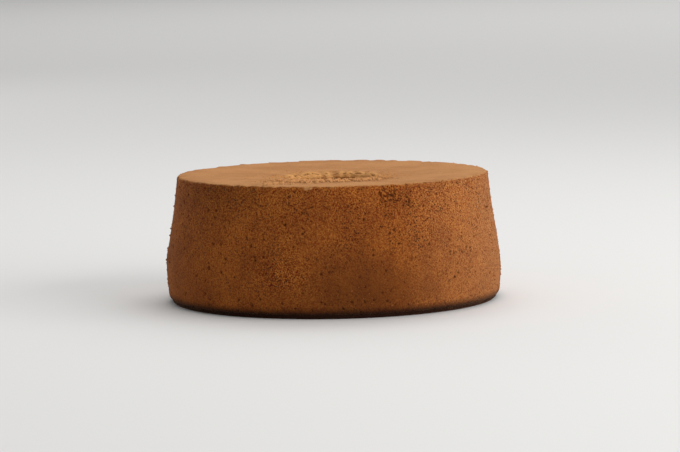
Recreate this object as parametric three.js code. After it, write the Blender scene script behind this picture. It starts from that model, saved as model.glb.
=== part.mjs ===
// An orange chiffon cake, baked in a tube pan, turned out and served base side up.
// It is one piece of sponge inside one skin: a drum that widens towards the foot, with the
// hole of the pan's tube straight through it. Millimetres, +Z up, and the origin is the
// middle of the face that it rests on. The view that shows it best looks along +Y.
//
// The whole surface is one closed net: a line is drawn round half of the cake's section, its
// stations are turned about the axis, and each point is then pushed in or out along the
// line's own normal by the relief of the baked skin.

import * as THREE from 'three';

// ---- Driving dimensions -------------------------------------------------------------------

const HEIGHT = 94.3;
const WIDEST_RADIUS = 124.8;
const RIM_RADIUS = 116.1;
const REST_RADIUS = 119.9; // the outer edge of the flat face that it stands on
const LIP_RADIUS = 36.6; // where the top starts to roll down into the hole
const TUBE_TOP_RADIUS = 30.6; // the hole just under that lip
const TUBE_FOOT_RADIUS = 25.4; // the hole at the foot, as the pan's tube tapers
const TOP_SAG = 2.2; // how far the top has sunk towards the hole, as the sponge cooled
const LIP_HEIGHT = HEIGHT - TOP_SAG;
const LIP_DEPTH = 5.2;
const LIP_EDGE = 4.5; // how far the ragged lip spoils the smooth top around it

const WIDEST_HEIGHT = 25;
const SHOULDER_HEIGHT = 46; // above it the side leans in evenly up to the rim
const SHOULDER_RADIUS = 122.5;
const FOOT_HEIGHT = 8; // below it the side rolls in under itself
const FOOT_RADIUS = 124;
const BASE_CRUST_HEIGHT = 3; // the dark crust that it stands on, set in under the side
const BASE_CRUST_RADIUS = 121.3;
const RIM_ROUNDING = 2.4;
const TUBE_FOOT_ROUNDING = 3;

const TURNS = 120; // points round each ring
const RIM_TURNS = 2 * TURNS; // the rim is bitten finely, so its rings have twice as many

// ---- The section --------------------------------------------------------------------------

const degrees = THREE.MathUtils.degToRad;

// A station is a point of the section, (radius, height), with the points that its ring has
// and the share of each kind of relief that shows on it.
function station(radius, height, relief, turns = TURNS) {
  return { radius, height, turns, swell: 0, skin: 0, rim: 0, lip: 0, crumb: 0, ...relief };
}

// Equal shares of the way from one end of a stretch to the other, both ends left out.
const between = (count) => Array.from({ length: count }, (_, k) => (k + 1) / (count + 1));

function restingFace() {
  const inner = TUBE_FOOT_RADIUS + TUBE_FOOT_ROUNDING;
  return [0, 0.5, 1].map((t) => station(THREE.MathUtils.lerp(inner, REST_RADIUS, t), 0, {}));
}

function baseCrust() {
  return [
    station((REST_RADIUS + BASE_CRUST_RADIUS) / 2, 0.2 * BASE_CRUST_HEIGHT, {}),
    station(BASE_CRUST_RADIUS, 0.6 * BASE_CRUST_HEIGHT, { swell: 0.3 }),
    station(BASE_CRUST_RADIUS, BASE_CRUST_HEIGHT, { swell: 0.6 }),
  ];
}

function rolledFoot() {
  return [35, 65, 90].map((angle) => station(
    THREE.MathUtils.lerp(BASE_CRUST_RADIUS, FOOT_RADIUS, Math.sin(degrees(angle))),
    THREE.MathUtils.lerp(FOOT_HEIGHT, BASE_CRUST_HEIGHT, Math.cos(degrees(angle))),
    { swell: 1 },
  ));
}

function side() {
  const line = new THREE.SplineCurve([
    new THREE.Vector2(FOOT_RADIUS, FOOT_HEIGHT),
    new THREE.Vector2(WIDEST_RADIUS, WIDEST_HEIGHT),
    new THREE.Vector2(SHOULDER_RADIUS, SHOULDER_HEIGHT),
    new THREE.Vector2((SHOULDER_RADIUS + RIM_RADIUS) / 2 - 0.6, (SHOULDER_HEIGHT + HEIGHT) / 2),
    new THREE.Vector2(RIM_RADIUS, HEIGHT - RIM_ROUNDING),
  ]);
  return between(11).map((t) => {
    const point = line.getPointAt(t);
    return station(point.x, point.y, { swell: 1, skin: 1 });
  });
}

function rim() {
  const middle = new THREE.Vector2(RIM_RADIUS - RIM_ROUNDING, HEIGHT - RIM_ROUNDING);
  const fine = (radius, height, relief) => station(radius, height, relief, RIM_TURNS);
  const round = [0, 40, 85].map((angle) => fine(
    middle.x + RIM_ROUNDING * Math.cos(degrees(angle)),
    middle.y + RIM_ROUNDING * Math.sin(degrees(angle)),
    { swell: 0.7, skin: 1, rim: 1 },
  ));
  return [
    fine(RIM_RADIUS + 0.4, HEIGHT - 2.6 * RIM_ROUNDING, { swell: 1, skin: 1, rim: 0.35 }),
    ...round,
    fine(RIM_RADIUS - 2 * RIM_ROUNDING, HEIGHT, { swell: 0.5, rim: 0.4 }),
  ];
}

function top() {
  const outer = RIM_RADIUS - 2 * RIM_ROUNDING;
  const inner = LIP_RADIUS + LIP_EDGE;
  const sagging = between(4).map((t) => station(
    THREE.MathUtils.lerp(outer, inner, t),
    THREE.MathUtils.lerp(HEIGHT, LIP_HEIGHT, THREE.MathUtils.smoothstep(t, 0, 1)),
    { swell: 0.4 },
  ));
  return [...sagging, station(inner, LIP_HEIGHT, { swell: 0.4, lip: 0.3 })];
}

function lip() {
  return [0, 22, 45, 68, 90].map((angle) => station(
    THREE.MathUtils.lerp(LIP_RADIUS, TUBE_TOP_RADIUS, Math.sin(degrees(angle))),
    LIP_HEIGHT - LIP_DEPTH * (1 - Math.cos(degrees(angle))),
    { swell: 0.4, lip: 1, crumb: angle / 90 },
  ));
}

function tubeWall() {
  return between(7).map((t) => station(
    THREE.MathUtils.lerp(TUBE_TOP_RADIUS, TUBE_FOOT_RADIUS, t),
    THREE.MathUtils.lerp(LIP_HEIGHT - LIP_DEPTH, TUBE_FOOT_ROUNDING, t),
    { swell: 0.4, lip: t < 0.15 ? 0.6 : 0, crumb: 1 },
  ));
}

function tubeFoot() {
  return [15, 55].map((angle) => station(
    TUBE_FOOT_RADIUS + TUBE_FOOT_ROUNDING * (1 - Math.cos(degrees(angle))),
    TUBE_FOOT_ROUNDING * (1 - Math.sin(degrees(angle))),
    { crumb: 0.4 },
  ));
}

// ---- The relief of the skin ---------------------------------------------------------------

// A small generator with a fixed seed, so that the cake comes out the same each time.
function seeded(seed) {
  let state = seed;
  return () => {
    state = (Math.imul(state, 1664525) + 1013904223) >>> 0;
    return state / 2 ** 32;
  };
}

// Unevenness of the sponge: a sum of flat waves that cross the cake in all directions, each
// with its length between the two given.
function makeWaves(count, size, lengths, seed) {
  const random = seeded(seed);
  const waves = Array.from({ length: count }, () => {
    const rise = 2 * random() - 1;
    const turn = 2 * Math.PI * random();
    const level = Math.sqrt(1 - rise ** 2);
    const way = new THREE.Vector3(level * Math.cos(turn), level * Math.sin(turn), rise);
    const length = THREE.MathUtils.lerp(...lengths, random());
    return { way: way.multiplyScalar((2 * Math.PI) / length), start: 2 * Math.PI * random() };
  });
  return (place) => {
    const sum = waves.reduce((total, wave) => total + Math.cos(wave.way.dot(place) + wave.start), 0);
    return (size * sum) / Math.sqrt(count / 2);
  };
}

// Bites out of an edge: spread round it, each with its own width and depth.
function makeBites(count, widths, depths, seed) {
  const random = seeded(seed);
  return Array.from({ length: count }, (_, k) => ({
    angle: (2 * Math.PI * (k + random())) / count,
    width: THREE.MathUtils.lerp(...widths, random()),
    depth: THREE.MathUtils.lerp(...depths, random() ** 2),
  }));
}

// How deep the bites go at an angle, on a ring of that radius.
function bitten(bites, angle, radius) {
  return bites.reduce((sum, b) => {
    const turn = Math.atan2(Math.sin(angle - b.angle), Math.cos(angle - b.angle));
    return sum + b.depth * Math.exp(-(((turn * radius) / b.width) ** 2));
  }, 0);
}

const swell = makeWaves(24, 0.32, [26, 70], 7);
const crumb = makeWaves(24, 0.5, [7, 20], 5);
const rimBites = makeBites(64, [1.8, 4.2], [0.1, 1], 11);
const lipBites = makeBites(30, [1.8, 4.2], [0.3, 2.6], 23);

// Patches where the skin stands off or has torn, each one a bump (or a pit) with a centre on
// the side, as an angle and a height, and a half-width and half-height.
const PATCHES = [
  { angle: degrees(180), height: 34, halfWidth: 26, halfHeight: 8, rise: 0.8 },
  { angle: degrees(290), height: 86, halfWidth: 9, halfHeight: 4, rise: -0.9 },
  { angle: degrees(298), height: 81, halfWidth: 4, halfHeight: 5, rise: -0.6 },
  { angle: degrees(260), height: 91.6, halfWidth: 2.6, halfHeight: 2.2, rise: 1.3 },
];

function patches(angle, radius, height) {
  return PATCHES.reduce((sum, p) => {
    const turn = Math.atan2(Math.sin(angle - p.angle), Math.cos(angle - p.angle));
    const across = (turn * radius) / p.halfWidth;
    const up = (height - p.height) / p.halfHeight;
    return sum + p.rise * Math.exp(-(across ** 2) - up ** 2);
  }, 0);
}

// The skin of the top lies in short terraces at the back left of the rim: going round from the
// left, each one sinks by TERRACE_DROP before the next starts at full height again.
const TERRACE_START = degrees(103);
const TERRACE_TURN = degrees(12.9);
const TERRACE_COUNT = 4;
const TERRACE_DROP = 0.9;

function terraces(angle) {
  const turned = (angle - TERRACE_START) / TERRACE_TURN;
  return turned > 0 && turned < TERRACE_COUNT ? TERRACE_DROP * (1 - (turned % 1)) : 0;
}

// Millimetres that the surface stands out at a place on a station's ring.
function relief(spot, angle, place) {
  let out = spot.swell * swell(place) + spot.crumb * crumb(place);
  if (spot.skin) out += spot.skin * patches(angle, spot.radius, spot.height);
  if (spot.rim) out -= spot.rim * (bitten(rimBites, angle, RIM_RADIUS) + terraces(angle));
  if (spot.lip) out -= spot.lip * bitten(lipBites, angle, LIP_RADIUS);
  return out;
}

// ---- The net ------------------------------------------------------------------------------

// The section's outward normal at a station, from its two neighbours.
function outward(before, after) {
  const run = new THREE.Vector2(after.radius - before.radius, after.height - before.height);
  return run.normalize().rotateAround(new THREE.Vector2(), -Math.PI / 2);
}

function ringPoints(spot, normal) {
  return Array.from({ length: spot.turns }, (_, k) => {
    const angle = (2 * Math.PI * k) / spot.turns;
    const around = (radius, height) => [radius * Math.cos(angle), radius * Math.sin(angle), height];
    const out = relief(spot, angle, new THREE.Vector3(...around(spot.radius, spot.height)));
    return around(spot.radius + normal.x * out, Math.max(0, spot.height + normal.y * out));
  });
}

// The triangles between a ring and the next one along the section, facing outwards. Where
// one ring has twice the points of the other, each of its middle points gets a fan.
function band(lower, upper) {
  const coarse = Math.min(lower.turns, upper.turns);
  const faces = [];
  for (let k = 0; k < coarse; k++) {
    const at = (ring, share) => ring.first + Math.round(((k + share) * ring.turns) / coarse) % ring.turns;
    const [a, b, c, d] = [at(lower, 0), at(lower, 1), at(upper, 1), at(upper, 0)];
    if (lower.turns === upper.turns) faces.push([a, b, c], [a, c, d]);
    else if (upper.turns > lower.turns) {
      const middle = at(upper, 0.5);
      faces.push([a, b, middle], [b, c, middle], [a, middle, d]);
    } else {
      const middle = at(lower, 0.5);
      faces.push([a, middle, d], [middle, c, d], [middle, b, c]);
    }
  }
  return faces;
}

function cakeGeometry() {
  const line = [
    ...restingFace(), ...baseCrust(), ...rolledFoot(), ...side(), ...rim(),
    ...top(), ...lip(), ...tubeWall(), ...tubeFoot(),
  ];
  const points = [];
  const rings = line.map((spot, k) => {
    const before = line[(k + line.length - 1) % line.length];
    const after = line[(k + 1) % line.length];
    const first = points.length;
    points.push(...ringPoints(spot, outward(before, after)));
    return { first, turns: spot.turns };
  });
  const faces = rings.flatMap((ring, k) => band(ring, rings[(k + 1) % rings.length]));
  const geometry = new THREE.BufferGeometry();
  geometry.setAttribute('position', new THREE.Float32BufferAttribute(points.flat(), 3));
  geometry.setIndex(faces.flat());
  geometry.computeVertexNormals();
  return geometry;
}

// ---- The cake -----------------------------------------------------------------------------

const bakedSkin = new THREE.MeshStandardMaterial({ color: 0x9a6238, roughness: 0.9, metalness: 0 });

const sponge = new THREE.Mesh(cakeGeometry(), bakedSkin);
sponge.name = 'chiffon_cake';

const cake = new THREE.Group();
cake.add(sponge);

export default cake;
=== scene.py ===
import math

import bpy
from mathutils import Matrix, Vector
from mathutils.geometry import interpolate_bezier


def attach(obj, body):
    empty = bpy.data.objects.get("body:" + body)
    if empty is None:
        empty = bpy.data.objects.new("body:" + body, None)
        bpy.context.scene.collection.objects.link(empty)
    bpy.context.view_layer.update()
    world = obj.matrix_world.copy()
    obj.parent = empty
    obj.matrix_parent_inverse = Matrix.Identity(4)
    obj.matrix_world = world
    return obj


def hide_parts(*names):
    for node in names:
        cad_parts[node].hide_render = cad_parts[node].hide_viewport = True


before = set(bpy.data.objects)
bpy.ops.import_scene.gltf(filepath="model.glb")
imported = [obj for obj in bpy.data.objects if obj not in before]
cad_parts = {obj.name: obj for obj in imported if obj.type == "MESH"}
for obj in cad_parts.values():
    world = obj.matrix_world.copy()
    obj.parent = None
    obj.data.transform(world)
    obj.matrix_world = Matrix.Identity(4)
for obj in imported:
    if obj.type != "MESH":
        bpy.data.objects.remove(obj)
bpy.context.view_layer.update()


# ---- The cake's section ---------------------------------------------------------------------
# The cake is chiffon sponge, baked in a tube pan and turned out, so its form is one section
# turned about the pan's axis: a flat top where the pan's base was, a side that widens towards
# the foot, and the hole of the tube. The section is a loop of stations, close where it shows.

MM = 0.001
HEIGHT = 94.3 * MM
RIM_RADIUS = 116.1 * MM
RIM_ROUNDING = 2.4 * MM
REST_RADIUS = 119.9 * MM
BASE_CRUST_RADIUS = 121.3 * MM
BASE_CRUST_HEIGHT = 3 * MM
BASE_CHAMFER = 0.4 * BASE_CRUST_HEIGHT
FOOT_RADIUS = 124 * MM
FOOT_HEIGHT = 8 * MM
WIDEST = Vector((124.8, 25)) * MM
SHOULDER = Vector((122.5, 46)) * MM
CHEST = Vector((118.7, 70.15)) * MM
TOP_SAG = 2.2 * MM
LIP_RADIUS = 36.6 * MM
LIP_EDGE = 4.5 * MM
LIP_HEIGHT = HEIGHT - TOP_SAG
LIP_DEPTH = 5.2 * MM
TUBE_TOP_RADIUS = 30.6 * MM
TUBE_BELL = 0.4 * MM
TUBE_BELL_DEPTH = 7 * MM
TUBE_FOOT_RADIUS = 25.4 * MM
TUBE_FOOT_ROUNDING = 3 * MM

# From here in to the lip some of the skin is ruffled, so the stations are closer.
RUFFLED_RADIUS = 82 * MM


def straight(start, end, count):
    """Stations on a line from start, left out, to end, each a (radius, height)."""
    return [Vector(start).lerp(Vector(end), k / count) for k in range(1, count + 1)]


def rounded(centre, radii, first, last, count):
    """Stations round a centre, from one angle in degrees, left out, to another."""
    angles = [math.radians(first + (last - first) * k / count) for k in range(1, count + 1)]
    return [
        Vector((centre[0] + radii[0] * math.cos(angle), centre[1] + radii[1] * math.sin(angle)))
        for angle in angles
    ]


def flowing(points, count):
    """Stations on one smooth curve through the points, count of them to each span."""
    ends = [points[0], *points, points[-1]]
    stations = []
    for before, start, end, after in zip(ends, ends[1:], ends[2:], ends[3:]):
        handles = start + (end - before) / 6, end - (after - start) / 6
        stations += interpolate_bezier(start, *handles, end, count + 1)[1:]
    return stations


def sagging(start, end, count):
    """Stations in over the top, which sinks in one soft slope from the rim to the hole's lip."""
    slope = RIM_RADIUS - 2 * RIM_ROUNDING, LIP_RADIUS + LIP_EDGE
    stations = straight((start, 0), (end, 0), count)
    for station in stations:
        share = min(max((slope[0] - station.x) / (slope[0] - slope[1]), 0), 1)
        station.y = HEIGHT - TOP_SAG * share**2 * (3 - 2 * share)
    return stations


rest_inner = TUBE_FOOT_RADIUS + TUBE_FOOT_ROUNDING
crust_foot = BASE_CRUST_RADIUS, BASE_CHAMFER
crust_top = BASE_CRUST_RADIUS, BASE_CRUST_HEIGHT
foot_centre = BASE_CRUST_RADIUS, FOOT_HEIGHT
foot_radii = FOOT_RADIUS - BASE_CRUST_RADIUS, FOOT_HEIGHT - BASE_CRUST_HEIGHT
rim_centre = RIM_RADIUS - RIM_ROUNDING, HEIGHT - RIM_ROUNDING
lip_centre = LIP_RADIUS, LIP_HEIGHT - LIP_DEPTH
lip_radii = LIP_RADIUS - TUBE_TOP_RADIUS, LIP_DEPTH
tube_top = TUBE_TOP_RADIUS, lip_centre[1]
tube_bell = TUBE_TOP_RADIUS - TUBE_BELL, lip_centre[1] - TUBE_BELL_DEPTH
tube_foot = TUBE_FOOT_RADIUS, TUBE_FOOT_ROUNDING
side_line = [
    Vector((FOOT_RADIUS, FOOT_HEIGHT)), WIDEST, SHOULDER, CHEST, Vector((RIM_RADIUS, rim_centre[1])),
]
section = (
    straight((rest_inner, 0), (REST_RADIUS, 0), 14)
    + straight((REST_RADIUS, 0), crust_foot, 2)
    + straight(crust_foot, crust_top, 3)
    + rounded(foot_centre, foot_radii, -90, 0, 10)
    + flowing(side_line, 30)
    + rounded(rim_centre, (RIM_ROUNDING, RIM_ROUNDING), 0, 90, 8)
    + sagging(rim_centre[0], RUFFLED_RADIUS, 22)
    + sagging(RUFFLED_RADIUS, LIP_RADIUS, 76)
    + rounded(lip_centre, lip_radii, 90, 180, 14)
    + straight(tube_top, tube_bell, 14)
    + straight(tube_bell, tube_foot, 56)
    + rounded((rest_inner, TUBE_FOOT_ROUNDING), (TUBE_FOOT_ROUNDING, TUBE_FOOT_ROUNDING), 180, 270, 6)
)


def loop_of(name, points):
    """An object whose mesh is one closed loop of edges through the points."""
    mesh = bpy.data.meshes.new(name)
    mesh.from_pydata(points, [(k, (k + 1) % len(points)) for k in range(len(points))], [])
    made = bpy.data.objects.new(name, mesh)
    bpy.context.scene.collection.objects.link(made)
    return made


# The lathe below draws a profile from the rim's circle, its X outwards and its Y down.
section_loop = loop_of("cake_section", [(s.x - RIM_RADIUS, -s.y, 0) for s in reversed(section)])


# ---- The bites round its two edges ------------------------------------------------------------
# Turning a sponge out of its pan tears small pieces from the rim and from the lip of the hole.
# They are the solid's own bites: drawn with the same seeds, each with its width and its depth.

RING_POINTS = 1440
RIM_BITES = {"count": 64, "widths": (1.8, 4.2), "depths": (0.1, 1.0), "seed": 11}
LIP_BITES = {"count": 30, "widths": (1.8, 4.2), "depths": (0.3, 2.6), "seed": 23}
TERRACE_START = math.radians(103)
TERRACE_TURN = math.radians(12.9)
TERRACE_COUNT = 4
TERRACE_DROP = 0.9 * MM


def draws(seed):
    """Even draws from 0 to 1, the same ones each time."""
    while True:
        seed = (seed * 1664525 + 1013904223) % 2**32
        yield seed / 2**32


def bites(count, widths, depths, seed):
    """The bites round one edge, each an angle, a half-width and a depth."""
    draw = draws(seed)
    found = []
    for k in range(count):
        angle = 2 * math.pi * (k + next(draw)) / count
        width = widths[0] + (widths[1] - widths[0]) * next(draw)
        depth = depths[0] + (depths[1] - depths[0]) * next(draw) ** 2
        found.append((angle, width * MM, depth * MM))
    return found


def bitten(found, angle, radius):
    """How deep the bites go at an angle of an edge with that radius."""
    turns = [(math.remainder(angle - at, 2 * math.pi), width, depth) for at, width, depth in found]
    return sum(depth * math.exp(-((turn * radius / width) ** 2)) for turn, width, depth in turns)


def terraced(angle):
    """How far the top's skin has sunk at an angle, in the short terraces at the back left."""
    turned = (angle - TERRACE_START) / TERRACE_TURN
    return TERRACE_DROP * (1 - turned % 1) if 0 < turned < TERRACE_COUNT else 0


ring_angles = [2 * math.pi * k / RING_POINTS for k in range(RING_POINTS)]
bite_ring = loop_of("bite_ring", [(math.cos(angle), math.sin(angle), 0) for angle in ring_angles])
rim_found, lip_found = bites(**RIM_BITES), bites(**LIP_BITES)
bite_depths = {
    "rim_bite": [bitten(rim_found, angle, RIM_RADIUS) + terraced(angle) for angle in ring_angles],
    "lip_bite": [bitten(lip_found, angle, LIP_RADIUS) for angle in ring_angles],
}
for name, values in bite_depths.items():
    bite_ring.data.attributes.new(name, "FLOAT", "POINT").data.foreach_set("value", values)


# ---- The skin's materials -------------------------------------------------------------------
# Browned chiffon skin: a dry, matt crust, drawn off the pan with its fine bubbles open. It is
# tan and nearly smooth on top, and darker, redder and full of pores down the side. Where the
# tube was drawn out, the golden sponge itself shows.


def linear(hex_colour):
    """An sRGB hex colour as linear red, green, blue and alpha."""
    parts = [int(hex_colour[k:k + 2], 16) / 255 for k in (1, 3, 5)]
    return [p / 12.92 if p <= 0.04045 else ((p + 0.055) / 1.055) ** 2.4 for p in parts] + [1]


def add(tree, kind, feeds=None, **settings):
    """Adds a node with its settings. Each feed links or sets one input; a node feeds its first output."""
    node = tree.nodes.new(kind)
    for name, value in settings.items():
        setattr(node, name, value)
    for socket, value in (feeds or {}).items():
        if isinstance(value, bpy.types.Node):
            value = next(out for out in value.outputs if out.enabled)
        if isinstance(value, bpy.types.NodeSocket):
            tree.links.new(value, node.inputs[socket])
        else:
            node.inputs[socket].default_value = value
    return node


TOP_TAN = "#b88351"
TOP_TAN_DEEP = "#ab7647"
# The lip's tan is partly the lip's golden colour and partly painted light against the shade of the hole.
LIP_TAN_AND_PAINTED_LIGHT = "#c99259"
# The scraps' tan is painted light: lighter than the top, for their shaded fronts.
SCRAP_PAINTED_LIGHT_TAN = "#ce925b"
SIDE_BROWN = "#8f4f1e"
SIDE_BROWN_DEEP = "#7f4319"
PALE_BROWN = "#a57046"
# The pore brown is painted shade, for the hollows of pores, wrinkles, cracks and gaps.
PORE_SHADE_BROWN = "#3a1704"
SKIN_SHEEN = "#d99f74"
BASE_CRUST_AND_SHADE = "#28130a"

# The grain's two ends, as shares of the skin's red, green and blue: its high parts are dry and
# paler, and the gaps between them redder.
GRAIN_DARK = (0.58, 0.2, 0.02)
GRAIN_LIGHT = (1.68, 2.1, 2.24)

# The real skin has bubbles from 0.3 mm up and a grain of about 0.3 mm. A point of the picture
# is 0.75 mm wide, so both are drawn as coarse as they need to be to show. The sizes of bubbles
# are shares of their spacing.
FINE_PORE_SPACING = 1.35 * MM
FINE_PORE_SIZES = 0.1, 0.55
FINE_PORE_WALL = 5.0
GRAIN_SPACING = 1.0 * MM
SKIN_BUMP = 0.5 * MM

# Slow changes over the skin: in its colour, in how open it is, and in the line where tan ends.
PATCH_SPACING = 28 * MM
OPEN_SPACING = 16 * MM
OPENNESS = 0.45, 1.4
RAGGED_SPACING = 3 * MM
RAGGED_HEIGHT = 2.6 * MM

# Each zone fades in, from none of it at its first height or radius to all of it at its second.
TAN_AT_RIM = HEIGHT - 1.3 * MM, HEIGHT - 0.2 * MM
TAN_INSIDE_RIM = RIM_RADIUS - 1.5 * MM, RIM_RADIUS - 4 * MM
TAN_IN_HOLE = LIP_HEIGHT - 8 * MM, LIP_HEIGHT - 6.3 * MM
TAN_OF_LIP = LIP_RADIUS + 3 * MM, LIP_RADIUS - 2 * MM
PALER_SIDE = 45 * MM, 118 * MM
COARSE_SIDE = 25 * MM, HEIGHT - 8 * MM
CRUST_AND_SHADE_FOOT = 9 * MM, 3.4 * MM
CRUST_AND_SHADE_EDGE = REST_RADIUS - 14 * MM, REST_RADIUS - 1 * MM
MOST_PALER = 0.45
FOOT_COARSENESS = 0.55
TOP_COARSENESS = 0.12
PIT_SHADE_DARKNESS = 0.8
FLAKE_TAN = 0.9

skin = bpy.data.materials.new("Browned chiffon skin")
skin.use_nodes = True
tree = skin.node_tree
tree.nodes.clear()
place = add(tree, "ShaderNodeTexCoord").outputs["Object"]
axes = add(tree, "ShaderNodeSeparateXYZ", {0: place}).outputs
level = add(tree, "ShaderNodeVectorMath", {0: place, 1: (1, 1, 0)}, operation="MULTIPLY")
radius = add(tree, "ShaderNodeVectorMath", {0: level}, operation="LENGTH").outputs["Value"]

# The tan of the top ends in a ragged line round the rim, but runs on over the lip of the hole,
# and down the flake that hangs over the rim. A noise keeps near 0.5, so the two values that it
# is read between, here and below, say where it counts as none and where as all.
ragged = add(tree, "ShaderNodeTexNoise", {"Vector": place, "Scale": 1 / RAGGED_SPACING, "Detail": 3})
ragged_up = add(tree, "ShaderNodeMath", {0: ragged, 1: 0.5}, operation="SUBTRACT")
edge_height = add(tree, "ShaderNodeMath", {
    0: ragged_up, 1: RAGGED_HEIGHT, 2: axes["Z"],
}, operation="MULTIPLY_ADD")
above_rim = add(tree, "ShaderNodeMapRange", {
    "Value": edge_height, "From Min": TAN_AT_RIM[0], "From Max": TAN_AT_RIM[1],
}, interpolation_type="SMOOTHSTEP")
inside_rim = add(tree, "ShaderNodeMapRange", {
    "Value": radius, "From Min": TAN_INSIDE_RIM[0], "From Max": TAN_INSIDE_RIM[1],
})
above_tube = add(tree, "ShaderNodeMapRange", {
    "Value": edge_height, "From Min": TAN_IN_HOLE[0], "From Max": TAN_IN_HOLE[1],
})
over_lip = add(tree, "ShaderNodeMath", {0: inside_rim, 1: above_tube}, operation="MULTIPLY")
on_top = add(tree, "ShaderNodeMath", {0: above_rim, 1: over_lip}, operation="MAXIMUM")
flake = add(tree, "ShaderNodeAttribute", attribute_name="hanging").outputs["Fac"]
flake = add(tree, "ShaderNodeMath", {0: ragged_up, 1: 0.9, 2: flake}, operation="MULTIPLY_ADD")
flake = add(tree, "ShaderNodeMapRange", {
    "Value": flake, "From Min": 0.45, "From Max": 0.6, "To Max": FLAKE_TAN,
})
on_top = add(tree, "ShaderNodeMath", {0: on_top, 1: flake}, operation="MAXIMUM")

# The top's tan is paler on the lip, partly its own golden colour and partly painted light
# against the shade of the hole, and on the scraps that stand up, as painted light on their shaded
# fronts. One side of the cake has browned less than the other, and the places that are marked
# darker have browned more high on the left, and carry a painted shadow low at the front.
patches = add(tree, "ShaderNodeTexNoise", {
    "Vector": place, "Scale": 1 / PATCH_SPACING, "Detail": 4, "Roughness": 0.6,
})
patchy = add(tree, "ShaderNodeMapRange", {"Value": patches, "From Min": 0.4, "From Max": 0.6})
top_colour = add(tree, "ShaderNodeMix", {
    0: patchy, 6: linear(TOP_TAN_DEEP), 7: linear(TOP_TAN),
}, data_type="RGBA")
in_lip = add(tree, "ShaderNodeMapRange", {
    "Value": radius, "From Min": TAN_OF_LIP[0], "From Max": TAN_OF_LIP[1],
})
top_colour = add(tree, "ShaderNodeMix", {
    0: in_lip, 6: top_colour, 7: linear(LIP_TAN_AND_PAINTED_LIGHT),
}, data_type="RGBA")
on_scrap = add(tree, "ShaderNodeAttribute", attribute_name="scrap").outputs["Fac"]
top_colour = add(tree, "ShaderNodeMix", {
    0: on_scrap, 6: top_colour, 7: linear(SCRAP_PAINTED_LIGHT_TAN),
}, data_type="RGBA")
side_colour = add(tree, "ShaderNodeMix", {
    0: patchy, 6: linear(SIDE_BROWN_DEEP), 7: linear(SIDE_BROWN),
}, data_type="RGBA")
paler = add(tree, "ShaderNodeMapRange", {
    "Value": axes["X"], "From Min": PALER_SIDE[0], "From Max": PALER_SIDE[1], "To Max": MOST_PALER,
})
side_colour = add(tree, "ShaderNodeMix", {
    0: paler, 6: side_colour, 7: linear(PALE_BROWN),
}, data_type="RGBA")
# The darker places: browning high on the left, and a painted shadow low at the front.
baked_and_shadow_share = add(tree, "ShaderNodeAttribute", attribute_name="baked").outputs["Fac"]
darker = add(tree, "ShaderNodeMath", {0: 1.0, 1: baked_and_shadow_share}, operation="SUBTRACT")
side_colour = add(tree, "ShaderNodeVectorMath", {0: side_colour, "Scale": darker}, operation="SCALE")
zone_colour = add(tree, "ShaderNodeMix", {
    0: on_top, 6: side_colour, 7: top_colour,
}, data_type="RGBA")

# Open bubbles of the skin, finer than the mesh holds, and the grain of the crumb between them.
# Both are stronger high on the side than at the foot, and faint on top. The bubbles, and the
# pits, wrinkles, cracks and scrap gaps that the relief marks, are darkened towards the pore
# brown as painted shade in their hollows.
side_share = add(tree, "ShaderNodeMapRange", {
    "Value": on_top, "To Min": 1.0, "To Max": TOP_COARSENESS,
})
fine_cells = add(tree, "ShaderNodeTexVoronoi", {"Vector": place, "Scale": 1 / FINE_PORE_SPACING})
cell_size = add(tree, "ShaderNodeSeparateXYZ", {0: fine_cells.outputs["Color"]})
fine_size = add(tree, "ShaderNodeMapRange", {
    "Value": cell_size, "From Min": 0.15, "To Min": FINE_PORE_SIZES[0], "To Max": FINE_PORE_SIZES[1],
})
fine_gap = add(tree, "ShaderNodeMath", {
    0: fine_size, 1: fine_cells.outputs["Distance"],
}, operation="SUBTRACT")
fine_pit = add(tree, "ShaderNodeMath", {
    0: fine_gap, 1: FINE_PORE_WALL,
}, operation="MULTIPLY", use_clamp=True)
open_noise = add(tree, "ShaderNodeTexNoise", {"Vector": place, "Scale": 1 / OPEN_SPACING, "Detail": 2})
openness = add(tree, "ShaderNodeMapRange", {
    "Value": open_noise, "From Min": 0.4, "From Max": 0.6, "To Min": OPENNESS[0], "To Max": OPENNESS[1],
})
open_here = add(tree, "ShaderNodeAttribute", attribute_name="open").outputs["Fac"]
coarse = add(tree, "ShaderNodeMapRange", {
    "Value": axes["Z"], "From Min": COARSE_SIDE[0], "From Max": COARSE_SIDE[1],
    "To Min": FOOT_COARSENESS, "To Max": 1.0,
})
coarse = add(tree, "ShaderNodeMath", {0: coarse, 1: open_here}, operation="ADD")
openness = add(tree, "ShaderNodeMath", {0: openness, 1: coarse}, operation="MULTIPLY")
fine_open = add(tree, "ShaderNodeMath", {0: fine_pit, 1: openness}, operation="MULTIPLY")
fine_shown = add(tree, "ShaderNodeMath", {0: fine_open, 1: side_share}, operation="MULTIPLY")
big_pit_shade = add(tree, "ShaderNodeAttribute", attribute_name="pit").outputs["Fac"]
pit_shade_share = add(tree, "ShaderNodeMath", {0: big_pit_shade, 1: fine_shown}, operation="ADD", use_clamp=True)
pit_painted_shade = add(tree, "ShaderNodeMath", {0: pit_shade_share, 1: PIT_SHADE_DARKNESS}, operation="MULTIPLY")
grain = add(tree, "ShaderNodeTexNoise", {
    "Vector": place, "Scale": 1 / GRAIN_SPACING, "Detail": 1, "Roughness": 0.6,
})
grain_spread = add(tree, "ShaderNodeMapRange", {"Value": grain, "From Min": 0.3, "From Max": 0.7})
grain_tint = add(tree, "ShaderNodeMix", {
    0: grain_spread, 6: (*GRAIN_DARK, 1), 7: (*GRAIN_LIGHT, 1),
}, data_type="RGBA")
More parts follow.
